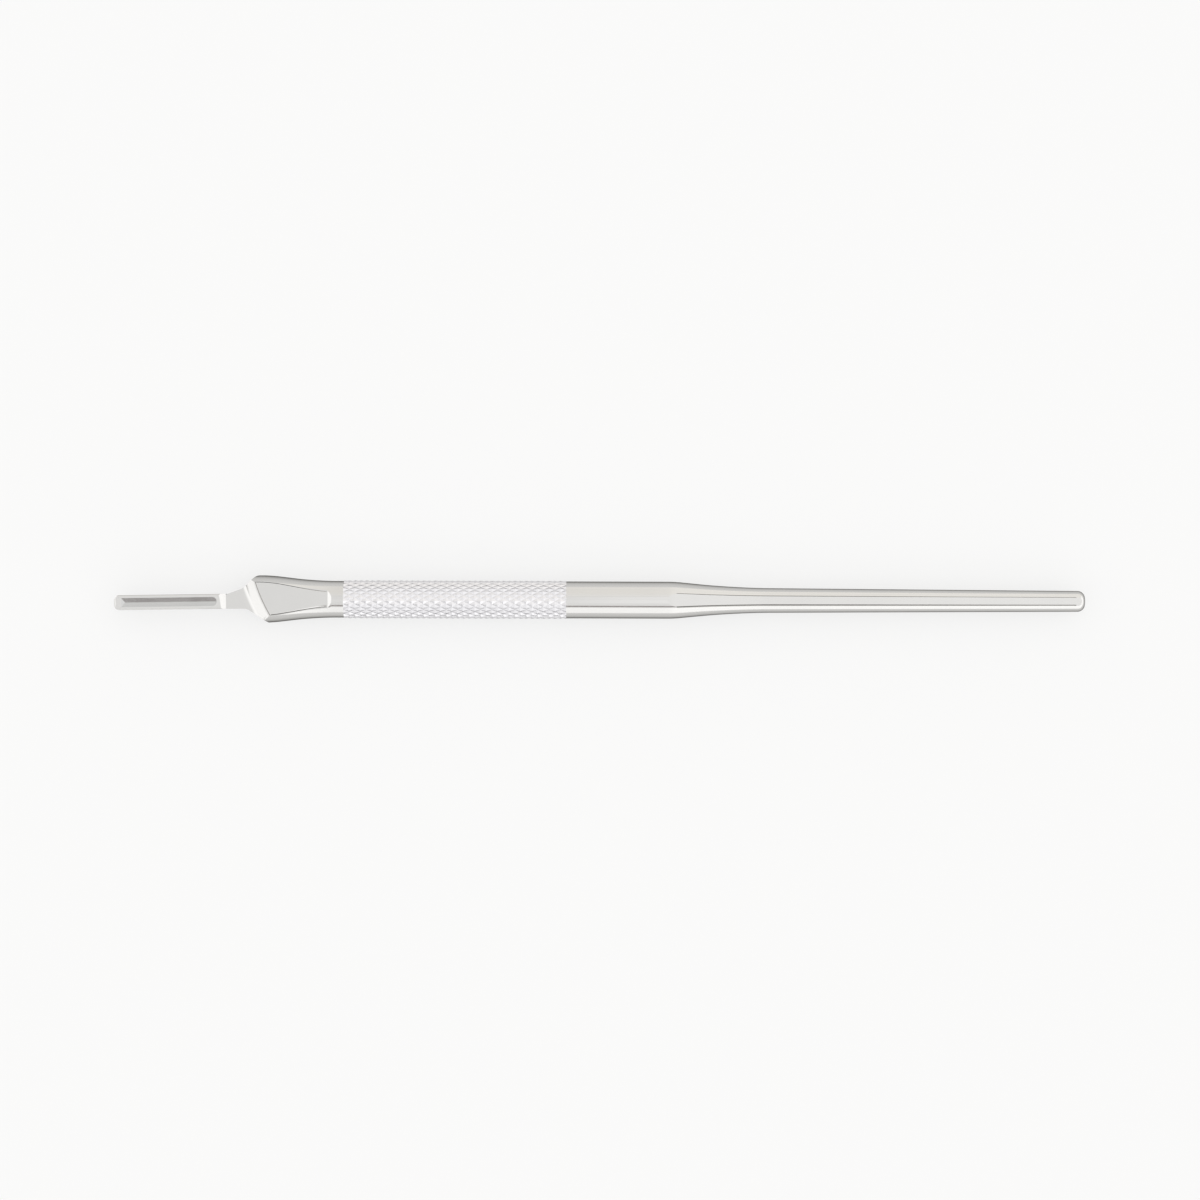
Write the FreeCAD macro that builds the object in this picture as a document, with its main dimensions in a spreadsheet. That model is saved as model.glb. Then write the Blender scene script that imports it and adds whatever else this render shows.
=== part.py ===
import FreeCAD, Part
import math
import os
import Sketcher

NODE = "scalpel_handle"

# Sizes in millimetres and degrees, lengths run from the tip of the blade bar

SIZES = {
    "overall_length": 160.0,
    "spare": 1.0,
    # turned blank
    "blank_start": 17.6,
    "flare_radius": 3.93,
    "flare_end": 25.6,
    "flare_round": 28.0,
    "collar_start": 33.2,
    "collar_round": 53.0,
    "collar_radius": 3.02,
    "band_radius": 3.045,
    "taper_start": 92.3,
    "taper_round": 20.0,
    "taper_end": 102.3,
    "shaft_round": 120.0,
    "shaft_start_radius": 2.063,
    "shaft_end_radius": 1.70,
    "end_round": 1.15,
    # diamond knurl
    "knurl_start": 37.8,
    "knurl_pitch": 1.88,
    "knurl_rows": 39,
    "knurl_columns": 18,
    "knurl_crest_radius": 3.15,
    "knurl_root_radius": 2.93,
    "knurl_end_drop": 0.04,
    "knurl_core_radius": 2.45,
    # milled flats of the flare
    "panel_half": 2.66,
    "panel_end": 36.3,
    "panel_runout": 0.95,
    # neck seen from the front
    "neck_low": 1.62,
    "neck_low_end": 21.8,
    "neck_low_far": 27.15,
    "neck_low_round": 1.6,
    "neck_high": 0.07,
    "neck_high_end": 21.24,
    "neck_high_rise": 1.81,
    "neck_high_round": 2.5,
    "neck_top_start": 23.45,
    "neck_top": 3.90,
    "neck_top_round": 1.2,
    "neck_top_end": 26.5,
    "neck_half": 0.95,
    # shoulder that stops the blade
    "shoulder_at": 24.13,
    "shoulder_turn": 23.8,
    "shoulder_arc": 27.0,
    "shoulder_sweep": 60.0,
    "shoulder_slope": 44.0,
    "shoulder_round": 0.9,
    # lengthwise flats of the thin shaft
    "flat_start": 92.5,
    "flat_lead": 0.4,
    "flat_angle": 21.7,
    # bar that takes the blade
    "bar_width": 2.45,
    "bar_end": 18.35,
    "bar_corner": 0.8,
    "bar_shift": 0.686,
    "bar_turn": 0.917,
    "web_width": 1.35,
    "web_start": 1.1,
    "groove_height": 0.45,
    "groove_end": 14.3,
    "head_top": 1.75,
    "head_back": 17.55,
    "head_roll": 6.0,
    "head_round": 0.22,
    # shallow trough along the top of the bar
    "trough_width": 1.5,
    "trough_depth": 0.2,
    "trough_start": 0.6,
    "trough_lead": 1.8,
    "trough_end": 16.9,
    "trough_corner": 0.7,
}

# Places worked out from the sizes

DERIVED = {
    "half_length": "Sizes.overall_length / 2",
    "lift": "Sizes.knurl_crest_radius * cos(180deg / Sizes.knurl_columns / 2)",
    "knurl_end": "Sizes.knurl_start + Sizes.knurl_pitch * Sizes.knurl_rows / 2",
    "past_end": "Sizes.overall_length + Sizes.spare",
    "reach": "Sizes.flare_radius + Sizes.spare",
    "low_reach": "-Sizes.flare_radius - Sizes.spare",
    "cutter_width": "(Sizes.flare_radius + Sizes.spare) * 4",
    "before_neck": "Sizes.blank_start - Sizes.spare",
    "low_side": "-Sizes.neck_low",
    "slope_foot": "-(Sizes.panel_half - Sizes.neck_half) / tan(Sizes.shoulder_slope * 1deg)",
    "slope_top": "(Sizes.flare_radius + Sizes.spare - Sizes.panel_half)"
                 " / tan(Sizes.shoulder_slope * 1deg)",
    "slope_front": "Sizes.blank_start - Sizes.shoulder_at - Sizes.flare_radius * 2",
    "arc_front": "Sizes.blank_start - Sizes.shoulder_at - Sizes.flare_radius * 2"
                 " - Sizes.shoulder_arc",
    "arc_foot": "-(Sizes.panel_half - Sizes.neck_half) / tan(Sizes.shoulder_slope * 1deg)"
                " - Sizes.shoulder_arc",
    "arc_top": "(Sizes.flare_radius + Sizes.spare - Sizes.panel_half)"
               " / tan(Sizes.shoulder_slope * 1deg) - Sizes.shoulder_arc",
    "panel_start": "Sizes.blank_start + Sizes.spare",
    "flat_lead_start": "Sizes.flat_start - Sizes.flat_lead",
    "flat_first": "cos(Sizes.flat_angle * 1deg) * (Sizes.band_radius"
                  " - (Sizes.band_radius - Sizes.shaft_start_radius)"
                  " * (Sizes.flat_start - Sizes.taper_start)"
                  " / (Sizes.taper_end - Sizes.taper_start))",
    "flat_middle": "cos(Sizes.flat_angle * 1deg) * Sizes.shaft_start_radius",
    "flat_last": "cos(Sizes.flat_angle * 1deg) * (Sizes.shaft_end_radius"
                 " - (Sizes.shaft_start_radius - Sizes.shaft_end_radius) * Sizes.spare"
                 " / (Sizes.overall_length - Sizes.taper_end))",
    "neck_depth": "Sizes.neck_half * 2",
    "head_floor": "Sizes.neck_half + Sizes.groove_height",
    "head_low": "Sizes.head_top - Sizes.bar_width * tan(Sizes.head_roll * 1deg)",
    "bar_half": "Sizes.bar_width / 2",
    "bar_right": "-Sizes.bar_width / 2",
    "web_half": "Sizes.web_width / 2",
    "web_right": "-Sizes.web_width / 2",
    "web_end": "Sizes.groove_end + Sizes.web_width",
    "web_corner": "Sizes.web_width * 0.48",
    "trough_half": "Sizes.trough_width / 2",
    "trough_right": "-Sizes.trough_width / 2",
    "trough_far_left": "Sizes.trough_width",
    "trough_far_right": "-Sizes.trough_width",
    "trough_bottom": "-Sizes.trough_depth",
    "trough_above": "Sizes.trough_depth",
    "trough_below": "-Sizes.trough_depth * 2",
    "trough_deep": "Sizes.trough_start + Sizes.trough_lead",
}

doc = FreeCAD.newDocument(NODE)
sheet = doc.addObject("Spreadsheet::Sheet", "Sizes")
for row, (alias, value) in enumerate(SIZES.items(), start=1):
    sheet.set("A%d" % row, alias)
    sheet.set("B%d" % row, str(value))
    sheet.setAlias("B%d" % row, alias)
doc.recompute()
places = doc.addObject("App::VarSet", "Places")
for name, formula in DERIVED.items():
    places.addProperty("App::PropertyFloat", name)
    places.setExpression(name, formula)
doc.recompute()


def size(name):
    return float(sheet.get(name) if name in SIZES else getattr(places, name))


def source(name):
    """Where an expression finds a size or a place."""
    return ("Sizes." if name in SIZES else "Places.") + name


# Helpers

def new_body(name):
    return doc.addObject("PartDesign::Body", name)


def corner_arc(place, before, after, radius):
    """Arc of the given radius in a corner, with its touching points towards both neighbours."""
    to_before = (before - place).normalize()
    to_after = (after - place).normalize()
    half = to_before.getAngle(to_after) / 2
    first = place + to_before * (radius / math.tan(half))
    last = place + to_after * (radius / math.tan(half))
    centre = place + (to_before + to_after).normalize() * (radius / math.sin(half))
    forward = (first - centre).cross(last - centre).z > 0
    ends = (first, last) if forward else (last, first)
    angles = [math.atan2(end.y - centre.y, end.x - centre.x) for end in ends]
    circle = Part.Circle(centre, FreeCAD.Vector(0, 0, 1), radius)
    return Part.ArcOfCircle(circle, angles[0], angles[1]), first, last, forward


def polygon(body, name, plane, corners):
    """Closed outline on one of the body's planes.

    A corner is held by two sheet sizes, None being zero, and a third one rounds it off.
    """
    sketch = body.newObject("Sketcher::SketchObject", name)
    base = [item for item in body.Origin.OriginFeatures if item.Role == plane + "_Plane"]
    sketch.AttachmentSupport = [(base[0], "")]
    sketch.MapMode = "FlatFace"
    count = len(corners)
    spots = [FreeCAD.Vector(*[size(part) if part else 0.0 for part in corner[:2]], 0)
             for corner in corners]
    starts, ends, arcs = list(spots), list(spots), {}
    for index, corner in enumerate(corners):
        if len(corner) > 2:
            arc, first, last, forward = corner_arc(
                spots[index], spots[index - 1], spots[(index + 1) % count], size(corner[2]))
            ends[index], starts[index] = first, last
            arcs[index] = (arc, forward)
    for index in range(count):
        sketch.addGeometry(Part.LineSegment(starts[index], ends[(index + 1) % count]), False)
    held = {}
    for index in range(count):
        previous = (index - 1) % count
        if index in arcs:
            arc, forward = arcs[index]
            number = sketch.addGeometry(arc, False)
            near_end, far_end = (1, 2) if forward else (2, 1)
            sketch.addConstraint(Sketcher.Constraint("Tangent", previous, 2, number, near_end))
            sketch.addConstraint(Sketcher.Constraint("Tangent", number, far_end, index, 1))
            bound(sketch, corners[index][2], "Radius", number)
            mark = sketch.addGeometry(Part.Point(spots[index]), True)
            sketch.addConstraint(Sketcher.Constraint("PointOnObject", mark, 1, previous))
            sketch.addConstraint(Sketcher.Constraint("PointOnObject", mark, 1, index))
            held[index] = mark
        else:
            sketch.addConstraint(Sketcher.Constraint("Coincident", previous, 2, index, 1))
            held[index] = index
    for index, corner in enumerate(corners):
        for axis, kind in ((0, "DistanceX"), (1, "DistanceY")):
            if corner[axis]:
                bound(sketch, corner[axis], kind, -1, 1, held[index], 1)
            else:
                axis_line = -2 + axis
                sketch.addConstraint(
                    Sketcher.Constraint("PointOnObject", held[index], 1, axis_line))
    doc.recompute()
    return sketch


def bound(sketch, alias, kind, *geometry):
    """Dimension on sketch geometry that follows a size of the sheet."""
    number = sketch.addConstraint(Sketcher.Constraint(kind, *geometry, size(alias)))
    sketch.setExpression("Constraints[%d]" % number, source(alias))


def pad(body, sketch, name, length, both_ways=True):
    feature = body.newObject("PartDesign::Pad", name)
    feature.Profile = sketch
    feature.Length = size(length)
    feature.setExpression("Length", source(length))
    feature.SideType = "Symmetric" if both_ways else "One side"
    doc.recompute()
    return feature


def point(x, y, z):
    return FreeCAD.Vector(x, y, z)


def join(name, kind, **links):
    result = doc.addObject(kind, name)
    for link, target in links.items():
        setattr(result, link, target)
    result.Refine = True
    doc.recompute()
    return result


ALONG = point(1, 0, 0)
UPWARD = point(0, 0, 1)

# Turned blank from flare to rounded end

blank = new_body("TurnedBlank")
profile = polygon(blank, "BlankProfile", "XZ", [
    ("blank_start", None),
    ("blank_start", "flare_radius"),
    ("flare_end", "flare_radius", "flare_round"),
    ("collar_start", "collar_radius", "collar_round"),
    ("knurl_start", "collar_radius"),
    ("knurl_start", "knurl_core_radius"),
    ("knurl_end", "knurl_core_radius"),
    ("knurl_end", "band_radius"),
    ("taper_start", "band_radius", "taper_round"),
    ("taper_end", "shaft_start_radius", "shaft_round"),
    ("overall_length", "shaft_end_radius", "end_round"),
    ("overall_length", None),
])
turned = blank.newObject("PartDesign::Revolution", "Turned")
turned.Profile = profile
turned.ReferenceAxis = (profile, ["H_Axis"])
turned.Angle = 360.0
doc.recompute()

# Outline of neck and flare seen from the front

outline = new_body("FrontOutline")
sketch = polygon(outline, "OutlineShape", "XY", [
    ("before_neck", "low_side"),
    ("neck_low_end", "low_side", "neck_low_round"),
    ("neck_low_far", "low_reach"),
    ("past_end", "low_reach"),
    ("past_end", "reach"),
    ("neck_top_end", "reach"),
    ("neck_top_end", "neck_top"),
    ("neck_top_start", "neck_top", "neck_top_round"),
    ("neck_high_end", "neck_high_rise", "neck_high_round"),
    ("before_neck", "neck_high"),
])
pad(outline, sketch, "OutlineBlock", "cutter_width")
outlined = join("OutlinedBlank", "Part::Common", Base=blank, Tool=outline)


# Cutters for shoulders, panels and shaft flats

def side_cutter(name, corners, flip=0):
    """Block with a side outline, turned about the long axis."""
    body = new_body(name)
    pad(body, polygon(body, name + "Side", "XZ", corners), name + "Block", "cutter_width")
    body.Placement = FreeCAD.Placement(point(0, 0, 0), FreeCAD.Rotation(ALONG, flip))
    return body


def curved_shoulder(name):
    """Slope that runs slantwise along an arc, as a round cutter leaves it."""
    body = new_body(name)
    side = polygon(body, name + "Side", "XZ", [
        ("arc_front", "neck_half"),
        ("arc_foot", "neck_half", "shoulder_round"),
        ("arc_top", "reach"),
        ("arc_front", "reach"),
    ])
    sweep = body.newObject("PartDesign::Revolution", name + "Sweep")
    sweep.Profile = side
    sweep.ReferenceAxis = (side, ["V_Axis"])
    sweep.Midplane = True
    sweep.setExpression("Angle", "Sizes.shoulder_sweep")
    body.Placement = FreeCAD.Placement(
        point(0, 0, 0), FreeCAD.Rotation(UPWARD, size("shoulder_turn")))
    body.setExpression("Placement.Base.x", "Sizes.shoulder_at"
                       " + Sizes.shoulder_arc * cos(Sizes.shoulder_turn * 1deg)")
    body.setExpression("Placement.Base.y",
                       "Sizes.shoulder_arc * sin(Sizes.shoulder_turn * 1deg)")
    doc.recompute()
    return body


def straight_shoulder(name, flip):
    body = side_cutter(name, [
        ("slope_front", "neck_half"),
        ("slope_foot", "neck_half", "shoulder_round"),
        ("slope_top", "reach"),
        ("slope_front", "reach"),
    ], flip)
    body.setExpression("Placement.Base.x", "Sizes.shoulder_at")
    return body


def panel_cutter(name, flip):
    return side_cutter(name, [
        ("panel_start", "panel_half"),
        ("panel_end", "panel_half", "panel_runout"),
        ("panel_end", "cutter_width"),
        ("panel_start", "cutter_width"),
    ], flip)


def flat_cutter(name, flip):
    return side_cutter(name, [
        ("flat_lead_start", "reach"),
        ("flat_start", "flat_first"),
        ("taper_end", "flat_middle", "shaft_round"),
        ("past_end", "flat_last"),
        ("past_end", "reach"),
    ], flip)


cutters = doc.addObject("Part::MultiFuse", "Cutters")
cutters.Shapes = [
    curved_shoulder("FrontShoulder"),
    straight_shoulder("BackShoulder", 180),
    panel_cutter("FrontPanel", 0),
    panel_cutter("BackPanel", 180),
    flat_cutter("FrontFlat", 0),
    flat_cutter("BackFlat", 180),
]
doc.recompute()
milled = join("MilledBlank", "Part::Cut", Base=outlined, Tool=cutters)

# Blade bar made of plate, narrow web and head

plate = new_body("BarPlate")
sketch = polygon(plate, "PlateShape", "XY", [
    (None, "bar_right", "bar_corner"), ("bar_end", "bar_right"),
    ("bar_end", "bar_half"), (None, "bar_half", "bar_corner"),
])
pad(plate, sketch, "PlateBlock", "neck_depth")

web = new_body("BarWeb")
sketch = polygon(web, "WebShape", "XY", [
    ("web_start", "web_right", "web_corner"), ("web_end", "web_right"),
    ("web_end", "web_half"), ("web_start", "web_half", "web_corner"),
])
pad(web, sketch, "WebBlock", "head_floor", both_ways=False)

head_side = new_body("HeadSide")
sketch = polygon(head_side, "HeadSideShape", "XZ", [
    (None, "head_floor"), (None, "head_top", "head_round"), ("head_back", "head_top"),
    ("bar_end", "neck_half"), ("groove_end", "neck_half"), ("groove_end", "head_floor"),
])
pad(head_side, sketch, "HeadSideBlock", "cutter_width")
head_plan = new_body("HeadPlan")
sketch = polygon(head_plan, "HeadPlanShape", "XY", [
    (None, "bar_right", "bar_corner"), ("past_end", "bar_right"),
    ("past_end", "bar_half"), (None, "bar_half", "bar_corner"),
])
pad(head_plan, sketch, "HeadPlanBlock", "cutter_width")
head_section = new_body("HeadSection")
sketch = polygon(head_section, "HeadSectionShape", "YZ", [
    ("bar_right", None), ("bar_right", "head_low", "head_round"),
    ("bar_half", "head_top", "head_round"), ("bar_half", None),
])
pad(head_section, sketch, "HeadSectionBlock", "overall_length")
head = join("BarHead", "Part::MultiCommon", Shapes=[head_side, head_plan, head_section])

# Shallow trough whose walls meet in a line, with a sloping front and a rounded back

walls = new_body("TroughWalls")
sketch = polygon(walls, "TroughSection", "YZ", [
    (None, "trough_bottom"), ("trough_far_left", "trough_above"),
    ("trough_far_right", "trough_above"),
])
pad(walls, sketch, "TroughLength", "overall_length")
trough_side = new_body("TroughSide")
sketch = polygon(trough_side, "TroughSideShape", "XZ", [
    ("trough_start", "trough_above"), ("trough_deep", "trough_below"),
    ("past_end", "trough_below"), ("past_end", "trough_above"),
])
pad(trough_side, sketch, "TroughSideBlock", "cutter_width")
trough_plan = new_body("TroughPlan")
sketch = polygon(trough_plan, "TroughPlanShape", "XY", [
    (None, "trough_right"), ("trough_end", "trough_right", "trough_corner"),
    ("trough_end", "trough_half", "trough_corner"), (None, "trough_half"),
])
pad(trough_plan, sketch, "TroughPlanBlock", "cutter_width")
trough_block = join("TroughBlock", "Part::Common", Base=trough_side, Tool=trough_plan)
trough = join("Trough", "Part::Common", Base=walls, Tool=trough_block)

lean = FreeCAD.Rotation(ALONG, size("head_roll"))
middle = (size("head_top") + size("head_low")) / 2
trough.Placement = FreeCAD.Placement(point(0, 0, middle), lean)
trough.setExpression("Placement.Base.z", "(Sizes.head_top + Places.head_low) / 2")
doc.recompute()

bar_stock = doc.addObject("Part::MultiFuse", "BarStock")
bar_stock.Shapes = [plate, web, head]
doc.recompute()
bar = join("BladeBar", "Part::Cut", Base=bar_stock, Tool=trough)
bar.Placement = FreeCAD.Placement(point(0, -size("bar_shift"), 0),
                                  FreeCAD.Rotation(UPWARD, size("bar_turn")))
bar.setExpression("Placement.Base.y", "-Sizes.bar_shift")
doc.recompute()


# Diamond knurl of crossing grooves, one low pyramid for each diamond

def knurl_solid():
    columns = int(round(size("knurl_columns")))
    rows = int(round(size("knurl_rows")))
    half_pitch = size("knurl_pitch") / 2
    start = size("knurl_start")
    crest, root = size("knurl_crest_radius"), size("knurl_root_radius")
    rim = size("collar_radius") - size("knurl_end_drop")
    steps = 2 * columns
    first_angle = math.pi / 2 + math.pi / steps

    def place(step, row):
        is_crest = (step + row) % 2 == 0
        radius = crest if is_crest else root
        if is_crest and row in (0, rows):
            radius = rim
        angle = first_angle + 2 * math.pi * step / steps
        return point(start + half_pitch * row, radius * math.cos(angle), radius * math.sin(angle))

    points, facets = [], []
    for row in range(rows + 1):
        points.extend(place(step, row) for step in range(steps))

    def at(step, row):
        return row * steps + step % steps

    for row in range(rows):
        for step in range(steps):
            near_left, near_right = at(step, row), at(step + 1, row)
            far_left, far_right = at(step, row + 1), at(step + 1, row + 1)
            if (step + row) % 2 == 0:
                facets.append((near_left, near_right, far_left))
                facets.append((near_right, far_right, far_left))
            else:
                facets.append((near_left, far_right, far_left))
                facets.append((near_left, near_right, far_right))
    centre_near, centre_far = len(points), len(points) + 1
    points.append(point(start, 0, 0))
    points.append(point(start + half_pitch * rows, 0, 0))
    for step in range(steps):
        facets.append((centre_near, at(step + 1, 0), at(step, 0)))
        facets.append((centre_far, at(step, rows), at(step + 1, rows)))
    skin = Part.Shape()
    skin.makeShapeFromMesh((points, facets), 1e-5)
    solid = Part.makeSolid(skin)
    if solid.Volume < 0:
        solid.reverse()
    return solid.removeSplitter()


knurl = doc.addObject("Part::Feature", "Knurl")
knurl.Shape = knurl_solid()

# The finished handle lying on its back with its middle over the origin

handle = doc.addObject("Part::MultiFuse", "Handle")
handle.Label = NODE
handle.Shapes = [milled, bar, knurl]
handle.Refine = True
handle.setExpression("Placement.Base.x", "-Places.half_length")
handle.setExpression("Placement.Base.z", "Places.lift")
doc.recompute()

for item in doc.Objects:
    if "Invalid" in item.State or "Error" in item.State:
        raise ValueError("%s did not recompute" % item.Name)
    if hasattr(item, "Shape") and (item.Shape.isNull() or not item.Shape.isValid()):
        if item.TypeId != "Sketcher::SketchObject":
            raise ValueError("%s has no valid shape" % item.Name)
if len(handle.Shape.Solids) != 1:
    raise ValueError("the handle is not one solid")

os.makedirs("parts", exist_ok=True)
handle.Shape.exportStep("parts/%s.step" % NODE)
print("volume %.2f" % handle.Shape.Volume, handle.Shape.BoundBox, len(handle.Shape.Faces))
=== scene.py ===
import math

import bmesh
import bpy
from mathutils import Matrix, Vector


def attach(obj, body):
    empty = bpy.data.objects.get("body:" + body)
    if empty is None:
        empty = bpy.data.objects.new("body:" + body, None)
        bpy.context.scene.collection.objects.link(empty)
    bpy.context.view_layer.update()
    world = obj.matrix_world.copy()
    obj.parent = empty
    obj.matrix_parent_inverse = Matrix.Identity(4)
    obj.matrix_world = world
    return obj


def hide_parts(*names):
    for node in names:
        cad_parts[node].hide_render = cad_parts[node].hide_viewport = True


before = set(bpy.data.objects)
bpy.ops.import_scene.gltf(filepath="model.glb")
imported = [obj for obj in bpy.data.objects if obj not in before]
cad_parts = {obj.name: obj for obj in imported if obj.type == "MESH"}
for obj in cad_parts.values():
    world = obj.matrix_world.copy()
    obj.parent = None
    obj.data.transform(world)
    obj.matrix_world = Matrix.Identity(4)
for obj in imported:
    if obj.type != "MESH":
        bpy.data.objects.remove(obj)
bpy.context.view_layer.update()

# Sizes in millimetres, lengths run from the tip of the blade bar

NODE = "scalpel_handle"
LENGTH, AXIS_HEIGHT = 160.0, 3.138
TURNED_STEPS = 168

# radii of the turned body, where they change, and the roundings there
FLARE_START, FLARE_END, FLARE, FLARE_ROUND = 17.6, 25.6, 3.93, 28.0
COLLAR_START, COLLAR, COLLAR_ROUND = 33.2, 3.02, 53.0
KNURL_START, PITCH, ROWS, CORE = 37.8, 1.88, 39, 2.45
KNURL_END = KNURL_START + PITCH * ROWS / 2
BAND_END, BAND, BAND_ROUND = 92.3, 3.045, 20.0
TAPER_END, SHAFT, SHAFT_ROUND = 102.3, 2.063, 120.0
SHAFT_TIP, TIP_ROUND = 1.70, 1.15
# reach of the cutters beyond the body, and a size that passes right through it
REACH, THROUGH = 5.0, 20

# half thickness of the neck, height of the panels, place, arc and slope of the shoulder
NECK, PANEL, SHOULDER_AT, SHOULDER_ARC = 0.95, 2.66, 24.13, 27.0
SHOULDER_LEAN, SHOULDER_SWEEP, SHOULDER_STEPS = math.radians(23.8), math.radians(60), 40
SLOPE, FOOT_ROUND = math.tan(math.radians(41)), 1.7
SLOPE_FRONT = -14.39
PANEL_START, PANEL_END = 18.6, 36.2

# the flats of the thin shaft reach 21.7 degrees to both sides of the middle
FLAT_LEAD, FLAT_START, FLAT_SHARE = 90.9, 92.5, math.cos(math.radians(21.7))

# bar, web under its head, and the head, rolled by 6 degrees about the long axis
HALF, BAR_END, BAR_CORNER = 1.225, 18.35, 0.8
WEB_HALF, WEB_START, WEB_END, WEB_CORNER = 0.675, 1.1, 15.65, 0.648
GROOVE_TOP, GROOVE_END, HEAD_TOP, HEAD_BACK, ROLL = 1.40, 14.3, 1.75, 17.29, 6.0
HEAD_LOW = HEAD_TOP - 2 * HALF * math.tan(math.radians(ROLL))
BAR_SHIFT, BAR_TURN = -0.686, math.radians(0.917)
TROUGH_HALF, TROUGH_DEPTH, TROUGH_END = 0.75, 0.2, 16.9

# edges sharper than the first angle are rounded, faces flatter than the second become one
SHARP, EVEN = math.radians(24), math.radians(0.05)


# Helpers for meshes

def in_row_frame(bm):
    """Moves a mesh drawn in millimetres from the bar tip to its place in metres."""
    bmesh.ops.translate(bm, verts=bm.verts, vec=(-LENGTH / 2, 0, AXIS_HEIGHT))
    bmesh.ops.scale(bm, verts=bm.verts, vec=(0.001, 0.001, 0.001))


def crease(bm, degrees):
    """Smooth shading that breaks at real edges."""
    limit = math.radians(degrees)
    for face in bm.faces:
        face.smooth = True
    for edge in bm.edges:
        edge.smooth = edge.calc_face_angle(0.0) < limit


def closed(bm, reach=1e-5):
    bmesh.ops.remove_doubles(bm, verts=bm.verts, dist=reach)
    bmesh.ops.recalc_face_normals(bm, faces=bm.faces)


def only_points(items):
    return [item for item in items if isinstance(item, bmesh.types.BMVert)]


def turned(bm):
    """Spins an outline right round the long axis."""
    bmesh.ops.spin(bm, geom=bm.verts[:] + bm.edges[:], cent=(0, 0, 0), axis=(1, 0, 0),
                   angle=math.tau, steps=TURNED_STEPS, use_merge=True)
    closed(bm)


def outline(bm, corners, upright=True, whole=True, segments=8):
    """Wire through corners (along, across, rounding), each corner rounded off by an arc.

    It lies in the upright plane of the long axis, or flat as seen from the front.
    """
    spots = [Vector((c[0], 0, c[1])) if upright else Vector((c[0], c[1], 0)) for c in corners]
    points = [bm.verts.new(spot) for spot in spots]
    count = len(points)
    for index in range(count if whole else count - 1):
        bm.edges.new((points[index], points[(index + 1) % count]))
    for index, corner in enumerate(corners):
        if len(corner) > 2:
            here = spots[index]
            turn = (here - spots[index - 1]).angle(spots[(index + 1) % count] - here)
            bmesh.ops.bevel(bm, geom=[points[index]], affect="VERTICES", segments=segments,
                            offset=corner[2] * math.tan(turn / 2), offset_type="OFFSET",
                            profile=0.5, material=-1, clamp_overlap=False)


def new_piece(name, bm, material=None):
    mesh = bpy.data.meshes.new(name)
    mesh.materials.append(material or POLISHED)
    bm.to_mesh(mesh)
    bm.free()
    piece = bpy.data.objects.new(name, mesh)
    bpy.context.scene.collection.objects.link(piece)
    return piece


def block(name, corners, thickness, upright=True, one_side=False, segments=8,
          turn=None, shift=(0, 0, 0)):
    """Prism over a rounded outline, even to both sides or standing on it."""
    bm = bmesh.new()
    outline(bm, corners, upright, True, segments)
    face = bmesh.ops.contextual_create(bm, geom=bm.edges[:])["faces"][0]
    sweep = Vector((0, thickness, 0)) if upright else Vector((0, 0, thickness))
    grown = bmesh.ops.extrude_face_region(bm, geom=[face])["geom"]
    bmesh.ops.translate(bm, verts=only_points(grown), vec=sweep)
    if not one_side:
        bmesh.ops.translate(bm, verts=bm.verts, vec=-sweep / 2)
    closed(bm)
    if turn:
        bmesh.ops.transform(bm, matrix=turn, verts=bm.verts)
    bmesh.ops.translate(bm, verts=bm.verts, vec=shift)
    return new_piece(name, bm)


def combine(piece, operation, *tools):
    """Cuts, joins or crosses a piece with tools, which are then gone."""
    for tool in tools:
        step = piece.modifiers.new(operation, "BOOLEAN")
        step.operation = operation
        step.solver = "EXACT"
        step.material_mode = "TRANSFER"
        step.object = tool
    shaped = piece.evaluated_get(bpy.context.evaluated_depsgraph_get())
    mesh = bpy.data.meshes.new_from_object(shaped)
    piece.modifiers.clear()
    piece.data = mesh
    for tool in tools:
        bpy.data.objects.remove(tool)
    return piece


def soften(piece, radius, chosen, segments=5):
    """Rounds off the sharp edges of a piece whose middles are chosen."""
    bm = bmesh.new()
    bm.from_mesh(piece.data)
    closed(bm, 1e-4)
    bmesh.ops.dissolve_limit(bm, angle_limit=EVEN, verts=bm.verts, edges=bm.edges)
    edges = [edge for edge in bm.edges if edge.calc_face_angle(0.0) > SHARP
             and chosen((edge.verts[0].co + edge.verts[1].co) / 2)]
    bmesh.ops.bevel(bm, geom=edges, affect="EDGES", offset=radius, offset_type="OFFSET",
                    segments=segments, profile=0.5, material=-1, clamp_overlap=True)
    closed(bm, 1e-4)
    bm.to_mesh(piece.data)
    bm.free()


def finish_piece(piece, degrees=20.0):
    bm = bmesh.new()
    bm.from_mesh(piece.data)
    closed(bm, 1e-4)
    crease(bm, degrees)
    in_row_frame(bm)
    bm.to_mesh(piece.data)
    bm.free()
    even = piece.modifiers.new("even_normals", "WEIGHTED_NORMAL")
    even.keep_sharp = True
    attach(piece, "root")
    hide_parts(NODE)


# Helpers for materials

def linear(hex_colour):
    """sRGB hex to the linear colour that a socket takes."""
    parts = [int(hex_colour[i:i + 2], 16) / 255 for i in (1, 3, 5)]
    return [c / 12.92 if c <= 0.04045 else ((c + 0.055) / 1.055) ** 2.4 for c in parts] + [1.0]


def add(tree, kind, settings=None, **links):
    """One node with its settings and its inputs, each a value or another node's output."""
    node = tree.nodes.new(kind)
    for name, value in (settings or {}).items():
        setattr(node, name, value)
    for name, value in links.items():
        key = int(name[1:]) if name[0] == "_" and name[1:].isdigit() else name.replace("_", " ")
        if isinstance(value, bpy.types.NodeSocket):
            tree.links.new(value, node.inputs[key])
        else:
            node.inputs[key].default_value = value
    return node


def new_material(name):
    material = bpy.data.materials.new(name)
    material.use_nodes = True
    material.node_tree.nodes.clear()
    return material, material.node_tree


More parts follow.
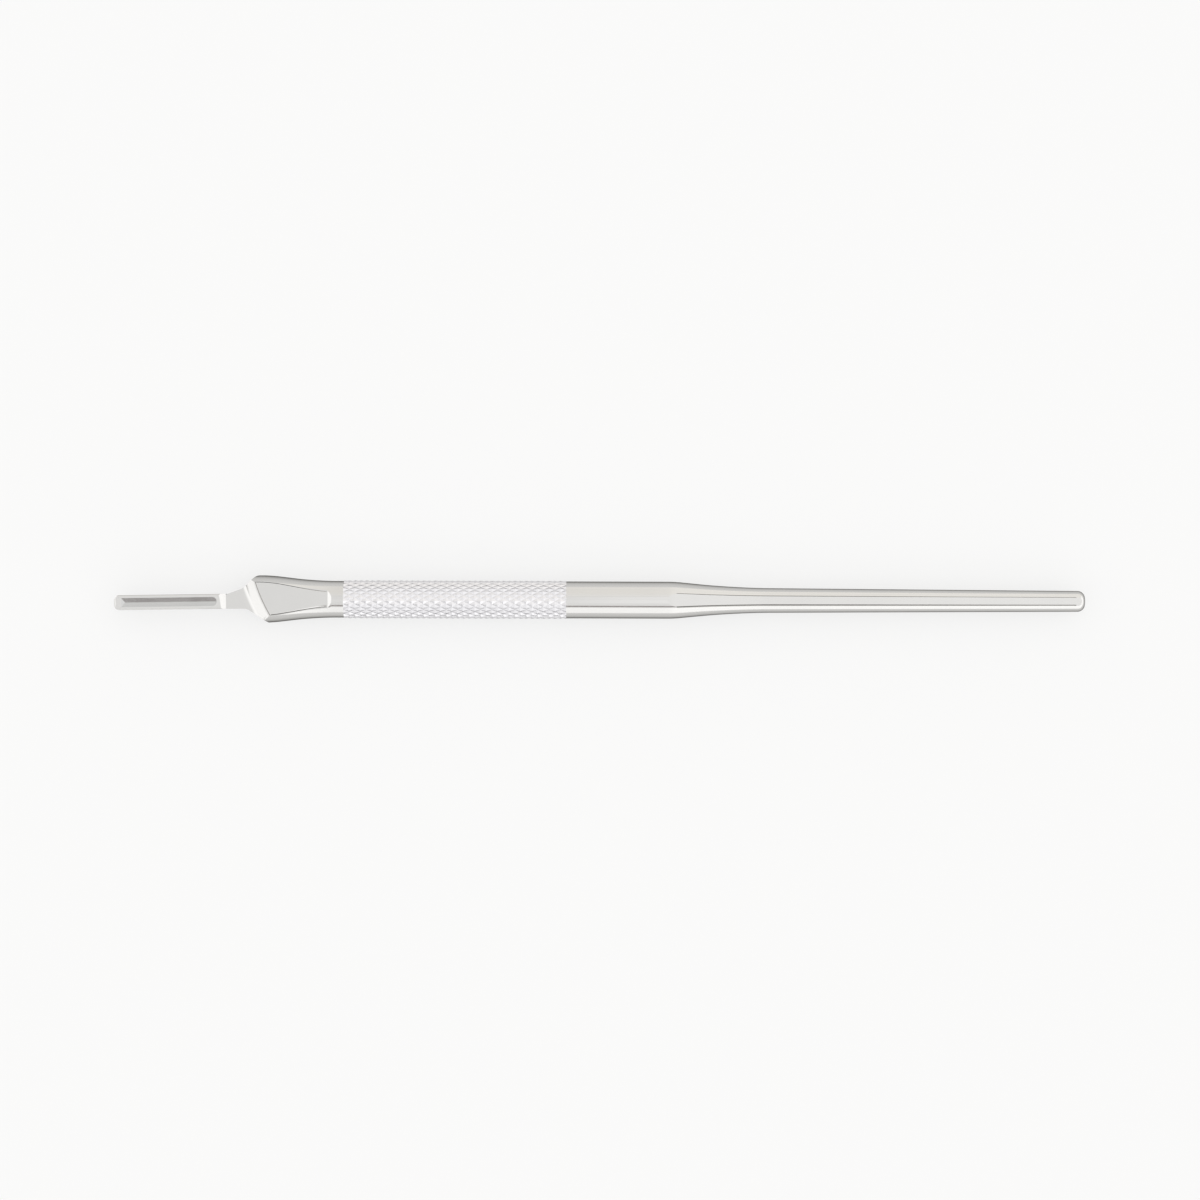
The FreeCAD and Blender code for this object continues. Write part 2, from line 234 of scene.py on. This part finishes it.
def steel(name, colour, shade, painted_edge_shade, roughness, marks_mm, marks_depth, along=False):
    """Stainless steel with fine tool lines, across the axis when turned, along it when ground."""
    material, tree = new_material(name)
    place = add(tree, "ShaderNodeTexCoord").outputs["Object"]
    # 1000 / spacing gives one ridge of noise for each tool line, stretched 60 to 1
    fine = 1000 / marks_mm
    stretch = (fine / 60, fine, fine) if along else (fine, fine / 60, fine / 60)
    lines = add(tree, "ShaderNodeTexNoise", None, Scale=1.0, Detail=2.0, Roughness=0.5,
                Vector=add(tree, "ShaderNodeMapping", None, Vector=place,
                           Scale=stretch).outputs[0]).outputs[0]
    # soft clouds about 6 mm wide where the polish varies a little
    clouds = add(tree, "ShaderNodeTexNoise", None, Scale=1000 / 6.0, Detail=3.0,
                 Vector=place).outputs[0]
    shine = add(tree, "ShaderNodeMapRange", None, Value=clouds, From_Min=0.3, From_Max=0.7,
                To_Min=roughness - 0.02, To_Max=roughness + 0.03).outputs[0]
    tone = add(tree, "ShaderNodeMix", {"data_type": "RGBA"}, Factor=clouds,
               _6=linear(shade), _7=linear(colour)).outputs[2]
    # the grazing tint is painted shade: it darkens the steel where the view grazes it, towards
    # the outlines
    surface = add(tree, "ShaderNodeBsdfPrincipled", None, Metallic=1.0, Base_Color=tone,
                  Specular_Tint=linear(painted_edge_shade), Roughness=shine,
                  Normal=add(tree, "ShaderNodeBump", None, Strength=marks_depth,
                             Distance=0.00001, Height=lines).outputs[0])
    add(tree, "ShaderNodeOutputMaterial", None, Surface=surface.outputs[0])
    return material


# Materials

# Stainless steel, turned and then finely polished: pale neutral mirror, darker at grazing view
# through a dark tint that is painted shade along its outlines
POLISHED = steel("polished_stainless_steel", "#CFCECC", "#CAC9C7", "#6E6D6B", 0.12, 0.08, 0.15)
# The same steel pressed by the knurling wheel: a little duller, its flats catch the light; its
# colour and grazing tint are painted lighter, a painted highlight over the whole grip
KNURLED_PAINTED_BRIGHT = steel("knurled_steel_painted_bright", "#DFDEE0", "#D9D8DA", "#949496", 0.34, 0.10, 0.12)
# The same steel as the milling cutter left it, with lengthwise lines and no polish; its darker
# colour is painted shade of the trough
MILLED_PAINTED_SHADE = steel("milled_steel_painted_shade", "#C3C3C2", "#BBBBBA", "#6E6E6D", 0.16, 0.07, 0.4,
               along=True)


# Turned body from flare to rounded end

bm = bmesh.new()
outline(bm, [
    (FLARE_START, 0), (FLARE_START, FLARE), (FLARE_END, FLARE, FLARE_ROUND),
    (COLLAR_START, COLLAR, COLLAR_ROUND), (KNURL_START, COLLAR), (KNURL_START, CORE),
    (KNURL_END, CORE), (KNURL_END, BAND), (BAND_END, BAND, BAND_ROUND),
    (TAPER_END, SHAFT, SHAFT_ROUND), (LENGTH, SHAFT_TIP, TIP_ROUND), (LENGTH, 0),
], whole=False, segments=10)
turned(bm)
body = new_piece("handle_body", bm)

# neck and flare as seen from the front: lower side first, then back along the upper side
combine(body, "INTERSECT", block("front_outline", [
    (16.6, -1.62), (21.8, -1.62, 1.6), (27.15, -REACH), (LENGTH + 1, -REACH),
    (LENGTH + 1, REACH), (26.5, REACH), (26.5, 3.90), (23.45, 3.90, 1.2),
    (21.24, 1.81, 2.5), (16.6, 0.07),
], THROUGH, upright=False))


# Cutters of the body

def arc_cutter(name, side):
    """Side outline swept along the arc of the shoulder, drawn from the shoulder's edge."""
    bm = bmesh.new()
    outline(bm, side)
    bmesh.ops.translate(bm, verts=bm.verts, vec=(-SHOULDER_ARC, 0, 0))
    bmesh.ops.rotate(bm, verts=bm.verts, cent=(0, 0, 0),
                     matrix=Matrix.Rotation(SHOULDER_LEAN - SHOULDER_SWEEP / 2, 3, "Z"))
    start = bmesh.ops.contextual_create(bm, geom=bm.edges[:])["faces"]
    bmesh.ops.spin(bm, geom=start, cent=(0, 0, 0), axis=(0, 0, 1), angle=SHOULDER_SWEEP,
                   steps=SHOULDER_STEPS)
    bmesh.ops.translate(bm, verts=bm.verts, vec=(
        SHOULDER_AT + SHOULDER_ARC * math.cos(SHOULDER_LEAN),
        SHOULDER_ARC * math.sin(SHOULDER_LEAN), 0))
    closed(bm)
    return new_piece(name, bm)


def panel(name, flip):
    """Milled flat of the flare, with the ramp where the cutter ran out."""
    ramp_start, ramp_end, rise, above = 35.15, 35.95, 0.37, 12
    return block(name, [
        (PANEL_START, PANEL), (ramp_start, PANEL, 0.5), (ramp_end, PANEL + rise, 0.2),
        (PANEL_END, above), (PANEL_START, above),
    ], THROUGH, turn=Matrix.Rotation(math.radians(flip), 4, "X"))


def shaft_flat(name, flip):
    """Lengthwise flat along the taper and the thin shaft."""
    return block(name, [
        (FLAT_LEAD, REACH), (FLAT_LEAD, 3.07), (FLAT_START, FLAT_SHARE * 3.025),
        (TAPER_END, FLAT_SHARE * SHAFT, SHAFT_ROUND), (LENGTH + 1, FLAT_SHARE * 1.694),
        (LENGTH + 1, REACH),
    ], THROUGH, turn=Matrix.Rotation(math.radians(flip), 4, "X"))


def panel_line(name, width, start, low, left):
    """Fine line cut just inside the outline of the front panel, on one side of the axis."""
    bm = bmesh.new()
    outer, inner, end, deep = 0.05, 0.05 + width, 35.1, PANEL - 0.14
    outline(bm, [
        (22.0, FLARE - outer), (FLARE_END, FLARE - outer, FLARE_ROUND),
        (COLLAR_START, COLLAR - outer, COLLAR_ROUND), (end, COLLAR - outer),
        (end, COLLAR - inner), (COLLAR_START, COLLAR - inner, COLLAR_ROUND),
        (FLARE_END, FLARE - inner, FLARE_ROUND), (22.0, FLARE - inner),
    ], segments=10)
    turned(bm)
    room = block(name + "_room", [
        (start, low), (40, low), (40, left), (start, left),
    ], 10, upright=False, shift=(0, 0, 5 + deep))
    return combine(new_piece(name, bm), "INTERSECT", room)


def hairline(name, depth, degrees):
    """Sharp groove along an edge of a flat, where flat and round meet, shallower to the tip."""
    bm = bmesh.new()
    start, end = 92.6, 158.4
    outline(bm, [
        (start, 3.04 - depth), (TAPER_END, 2.05 - depth, SHAFT_ROUND),
        (end, SHAFT_TIP - 0.6 * depth),
    ], whole=False)
    bottom = bm.edges[:]
    rims = []
    for side in (1, -1):
        grown = bmesh.ops.extrude_edge_only(bm, edges=bottom)["geom"]
        rims += [item for item in grown if isinstance(item, bmesh.types.BMEdge)]
        bmesh.ops.translate(bm, vec=(0, side * 0.5, 1.0), verts=only_points(grown))
    bmesh.ops.bridge_loops(bm, edges=rims)
    bmesh.ops.holes_fill(bm, edges=[edge for edge in bm.edges if edge.is_boundary], sides=0)
    closed(bm)
    bmesh.ops.rotate(bm, verts=bm.verts, cent=(0, 0, 0),
                     matrix=Matrix.Rotation(math.radians(degrees), 3, "X"))
    return new_piece(name, bm)


# the front shoulder runs slantwise along an arc, the back one straight across
slope_side = [
    (SLOPE_FRONT, NECK), (-(PANEL - NECK) / SLOPE, NECK, FOOT_ROUND),
    ((REACH - PANEL) / SLOPE, REACH), (SLOPE_FRONT, REACH),
]
combine(body, "DIFFERENCE", arc_cutter("front_shoulder", slope_side))
combine(body, "DIFFERENCE", block("back_shoulder", slope_side, THROUGH, shift=(SHOULDER_AT, 0, 0),
                                  turn=Matrix.Rotation(math.pi, 4, "X")))
combine(body, "DIFFERENCE", panel("front_panel", 0))
combine(body, "DIFFERENCE", panel("back_panel", 180))
combine(body, "DIFFERENCE", shaft_flat("front_flat", 0))
combine(body, "DIFFERENCE", shaft_flat("back_flat", 180))
soften(body, 0.25, lambda place: place.x < 25.4 and place.y < -0.8 and 0 < place.z < 2.6)
soften(body, 0.12, lambda place: place.x < 36.9)

# lines along the edges, the one on the lower front edge deeper than the others
for name, depth, degrees in (
        ("front_high", 0.13, -21.9), ("front_low", 0.32, 22.5),
        ("back_low", 0.13, 158.1), ("back_high", 0.13, 201.9)):
    combine(body, "DIFFERENCE", hairline(name, depth, degrees))
combine(body, "DIFFERENCE", panel_line("low_edge", 0.13, 25.85, -5, 0))
combine(body, "DIFFERENCE", panel_line("high_edge", 0.06, 23.35, 0, 5))
shoulder_line = arc_cutter("shoulder_line", [
    (0.23, PANEL - 0.11), (0.38, PANEL + 0.02), (0.38, 4), (0.08, 4), (0.08, PANEL + 0.02)])
combine(shoulder_line, "INTERSECT", block("line_room", [
    (20, -2.84), (40, -2.84), (40, 2.84), (20, 2.84),
], THROUGH, upright=False))
combine(body, "DIFFERENCE", shoulder_line)
finish_piece(body)


# Blade bar: plate, narrow web under the head, and the head with its trough

bar = block("blade_bar", [
    (0, -HALF, BAR_CORNER), (BAR_END, -HALF), (BAR_END, HALF), (0, HALF, BAR_CORNER),
], 2 * NECK, upright=False)
web = block("bar_web", [
    (WEB_START, -WEB_HALF, WEB_CORNER), (WEB_END, -WEB_HALF), (WEB_END, WEB_HALF),
    (WEB_START, WEB_HALF, WEB_CORNER),
], GROOVE_TOP, upright=False, one_side=True)

# the head slopes down to its tip and to the neck, and its top face is rolled
head = block("bar_head", [
    (0, GROOVE_TOP), (0.08, HEAD_TOP - 0.25), (0.55, HEAD_TOP, 0.35), (HEAD_BACK, HEAD_TOP, 0.5),
    (BAR_END, NECK), (GROOVE_END, NECK), (GROOVE_END, GROOVE_TOP),
], THROUGH)
across = Matrix.Rotation(math.pi / 2, 4, "Z")
section = block("head_section", [
    (-HALF, 0), (-HALF, HEAD_LOW, 0.22), (HALF, HEAD_TOP, 0.22), (HALF, 0),
], 2 * LENGTH, turn=across)
combine(head, "INTERSECT", block("head_plan", [
    (0, -HALF, BAR_CORNER), (30, -HALF), (30, HALF), (0, HALF, BAR_CORNER),
], THROUGH, upright=False), section)
combine(bar, "UNION", web, head)
soften(bar, 0.25, lambda place: place.x < 0.9 and place.z > GROOVE_TOP + 0.02, 8)

# the trough runs out gently towards the tip and ends round behind
trough = block("trough_walls", [
    (0.6, TROUGH_DEPTH), (2.4, -0.4), (30, -0.4), (30, TROUGH_DEPTH)], 6)
combine(trough, "INTERSECT", block("trough_plan", [
    (0, -TROUGH_HALF), (TROUGH_END, -TROUGH_HALF, 0.7), (TROUGH_END, TROUGH_HALF, 0.7),
    (0, TROUGH_HALF),
], 4, upright=False), block("trough_section", [
    (0, -TROUGH_DEPTH), (2 * TROUGH_HALF, TROUGH_DEPTH), (-2 * TROUGH_HALF, TROUGH_DEPTH),
], 100, turn=across))
trough.data.transform(Matrix.Translation((0, 0, (HEAD_TOP + HEAD_LOW) / 2))
                      @ Matrix.Rotation(math.radians(ROLL), 4, "X"))
# the trough gets the darker steel, painted shade in the recess
trough.data.materials.clear()
trough.data.materials.append(MILLED_PAINTED_SHADE)
combine(bar, "DIFFERENCE", trough)
bar.data.transform(Matrix.Translation((0, BAR_SHIFT, 0)) @ Matrix.Rotation(BAR_TURN, 4, "Z"))
finish_piece(bar, 12.5)


# Diamond knurl: one low pyramid, repeated round and along the grip

COLUMNS, CREST, ROOT = 18, 3.15, 2.93
bm = bmesh.new()
step = math.pi / COLUMNS


def on_round(along, turns, radius):
    angle = math.pi / 2 + step / 2 + turns * step
    return (KNURL_START + along * PITCH / 2, radius * math.cos(angle), radius * math.sin(angle))


tip = bm.verts.new(on_round(0, 0, CREST))
roots = [bm.verts.new(on_round(*spot, ROOT)) for spot in ((-1, 0), (0, 1), (1, 0), (0, -1))]
for index in range(4):
    bm.faces.new((tip, roots[index], roots[(index + 1) % 4]))
bmesh.ops.bevel(bm, geom=[tip], affect="VERTICES", offset=0.14, offset_type="OFFSET", segments=1,
                profile=0.5, material=-1)
pair = bmesh.ops.duplicate(bm, geom=bm.verts[:] + bm.edges[:] + bm.faces[:])["geom"]
second = only_points(pair)
bmesh.ops.rotate(bm, verts=second, cent=(0, 0, 0), matrix=Matrix.Rotation(step, 3, "X"))
bmesh.ops.translate(bm, verts=second, vec=(PITCH / 2, 0, 0))
ring = bm.verts[:] + bm.edges[:] + bm.faces[:]
bmesh.ops.spin(bm, geom=ring, cent=(0, 0, 0), axis=(1, 0, 0), angle=math.tau,
               steps=COLUMNS, use_duplicate=True)
bmesh.ops.remove_doubles(bm, verts=bm.verts, dist=1e-4)
band = bm.verts[:] + bm.edges[:] + bm.faces[:]
for turn in range(1, ROWS // 2 + 1):
    copy = bmesh.ops.duplicate(bm, geom=band)["geom"]
    bmesh.ops.translate(bm, verts=only_points(copy), vec=(turn * PITCH, 0, 0))
bmesh.ops.remove_doubles(bm, verts=bm.verts, dist=1e-4)
for place, side in ((KNURL_START, -1), (KNURL_END, 1)):
    bmesh.ops.bisect_plane(bm, geom=bm.verts[:] + bm.edges[:] + bm.faces[:], dist=1e-5,
                           plane_co=(place, 0, 0), plane_no=(side, 0, 0), clear_outer=True)
open_edges = [edge for edge in bm.edges if edge.is_boundary]
bmesh.ops.holes_fill(bm, edges=open_edges, sides=0)
closed(bm)
finish_piece(new_piece("diamond_knurl", bm, KNURLED_PAINTED_BRIGHT), 8.0)


# Floor, light and camera

# share of the floor that is plain white to the eye and in the steel
PLAIN_WHITE = 0.66
# brightness of the tent overhead, of the sheet in front and of both ends
TENT, SHEET, ENDS = 1.12, 1.40, (1.60, 1.60, 1.60, 1.0)
SEAM_COLOUR = (0.45, 0.42, 0.41, 1.0)
FAR_TINT = (1.0, 0.98, 0.945, 1.0)
FLAG_COLOUR, FLAG_WAY = (0.05, 0.045, 0.04, 1.0), (-0.582, -0.801, 0.139)
CAMERA_AWAY, CAMERA_TURN = 0.5503, math.radians(0.165)

floor_material, tree = new_material("pale_table")
paper = add(tree, "ShaderNodeBsdfPrincipled", None, Roughness=0.9, Base_Color=linear("#D8D8D7"))
ray = add(tree, "ShaderNodeLightPath").outputs
seen = add(tree, "ShaderNodeMath", {"operation": "ADD"}, _0=ray["Is Camera Ray"], _1=add(
    tree, "ShaderNodeMath", {"operation": "ADD"}, _0=ray["Is Glossy Ray"],
    _1=ray["Is Transmission Ray"]).outputs[0]).outputs[0]
# the rest of the floor is paper and keeps the shadow
white = add(tree, "ShaderNodeMath", {"operation": "MULTIPLY"}, _0=seen,
            _1=PLAIN_WHITE).outputs[0]
add(tree, "ShaderNodeOutputMaterial", None, Surface=add(
    tree, "ShaderNodeMixShader", None, Fac=white, _1=paper.outputs[0], _2=add(
        tree, "ShaderNodeEmission", None, Strength=1.0).outputs[0]).outputs[0])
bm = bmesh.new()
bmesh.ops.create_grid(bm, x_segments=1, y_segments=1, size=3.0)
floor = new_piece("table_top", bm, floor_material)

world = bpy.data.worlds.new("studio")
bpy.context.scene.world = world
world.use_nodes = True
tree = world.node_tree
tree.nodes.clear()
sky_way = add(tree, "ShaderNodeTexCoord").outputs["Generated"]
sky = add(tree, "ShaderNodeSeparateXYZ", None, Vector=sky_way).outputs

# a white tent, brighter in front, with a narrow grey seam above the bright sheet and a faint
# one on the far side
turn = add(tree, "ShaderNodeMath", {"operation": "ARCTAN2"}, _1=sky[2], _0=add(
    tree, "ShaderNodeMath", {"operation": "MULTIPLY"}, _0=sky[1], _1=-1.0).outputs[0]).outputs[0]
level = add(tree, "ShaderNodeMapRange", None, Value=turn, From_Min=math.radians(44),
            From_Max=math.radians(49), To_Min=TENT, To_Max=SHEET).outputs[0]
seam = add(tree, "ShaderNodeValToRGB", None, Fac=add(
    tree, "ShaderNodeMapRange", None, Value=turn, From_Min=-math.pi,
    From_Max=math.pi).outputs[0])
seam.color_ramp.elements.remove(seam.color_ramp.elements[1])
seam.color_ramp.elements[0].color = (0, 0, 0, 1)
for degrees, share in ((-22, 0), (-19.5, 0.12), (-17.5, 0.12), (-15, 0), (35.5, 0), (38, 1),
                       (45, 1), (47.5, 0)):
    seam.color_ramp.elements.new((degrees + 180) / 360).color = (share, share, share, 1)
sideways = add(tree, "ShaderNodeMath", {"operation": "ABSOLUTE"}, _0=sky[0]).outputs[0]
middle = add(tree, "ShaderNodeMapRange", None, Value=sideways, From_Min=0.25, From_Max=0.42,
             To_Min=1.0, To_Max=0.0).outputs[0]
seam = add(tree, "ShaderNodeMath", {"operation": "MULTIPLY"}, _0=seam.outputs[0],
           _1=middle).outputs[0]
# the cloth of the tent is a few per cent uneven, in soft streaks along the handle
uneven = add(tree, "ShaderNodeMapRange", None, Value=add(
    tree, "ShaderNodeTexNoise", {"noise_dimensions": "1D"}, W=turn, Scale=7.0,
    Detail=3.0).outputs[0], From_Min=0.3, From_Max=0.7, To_Min=0.95, To_Max=1.05).outputs[0]
level = add(tree, "ShaderNodeMath", {"operation": "MULTIPLY"}, _0=level, _1=uneven).outputs[0]
# and grows a little brighter towards the thin end
right = add(tree, "ShaderNodeMapRange", None, Value=sky[0], From_Min=-0.06, From_Max=0.10,
            To_Min=1.0, To_Max=1.14).outputs[0]
level = add(tree, "ShaderNodeMath", {"operation": "MULTIPLY"}, _0=level, _1=right).outputs[0]
light = add(tree, "ShaderNodeMix", {"data_type": "RGBA"}, Factor=seam, _6=level,
            _7=SEAM_COLOUR).outputs[2]
# a little warmer towards the far side
warm = add(tree, "ShaderNodeMapRange", None, From_Min=0.2, From_Max=0.7,
           Value=sky[1]).outputs[0]
light = add(tree, "ShaderNodeMix", {"data_type": "RGBA", "blend_type": "MULTIPLY"}, Factor=warm,
            _6=light, _7=FAR_TINT).outputs[2]
# brighter towards both ends of the handle
ends = add(tree, "ShaderNodeMapRange", None, Value=sideways, From_Min=0.60,
           From_Max=0.80).outputs[0]
light = add(tree, "ShaderNodeMix", {"data_type": "RGBA"}, Factor=ends, _6=light,
            _7=ENDS).outputs[2]
# a dark flag low on the left darkens the rounded edges there
flag = add(tree, "ShaderNodeMapRange", None, From_Min=math.cos(math.radians(18)),
           From_Max=math.cos(math.radians(13)), Value=add(
    tree, "ShaderNodeVectorMath", {"operation": "DOT_PRODUCT"}, _0=sky_way,
    _1=FLAG_WAY).outputs[1]).outputs[0]
light = add(tree, "ShaderNodeMix", {"data_type": "RGBA"}, Factor=flag, _6=light,
            _7=FLAG_COLOUR).outputs[2]
add(tree, "ShaderNodeOutputWorld", None, Surface=add(
    tree, "ShaderNodeBackground", None, Color=light, Strength=1.0).outputs[0])

camera_data = bpy.data.cameras.new("camera")
camera_data.lens = 100
camera_data.sensor_width = 36
camera_data.clip_start = 0.01
camera_data.clip_end = 10
camera = bpy.data.objects.new("camera", camera_data)
bpy.context.scene.collection.objects.link(camera)
camera.location = (0.00001, 0.0, CAMERA_AWAY + AXIS_HEIGHT / 1000)
camera.rotation_euler = (0, 0, CAMERA_TURN)
bpy.context.scene.camera = camera
bpy.context.scene.view_settings.view_transform = "Standard"
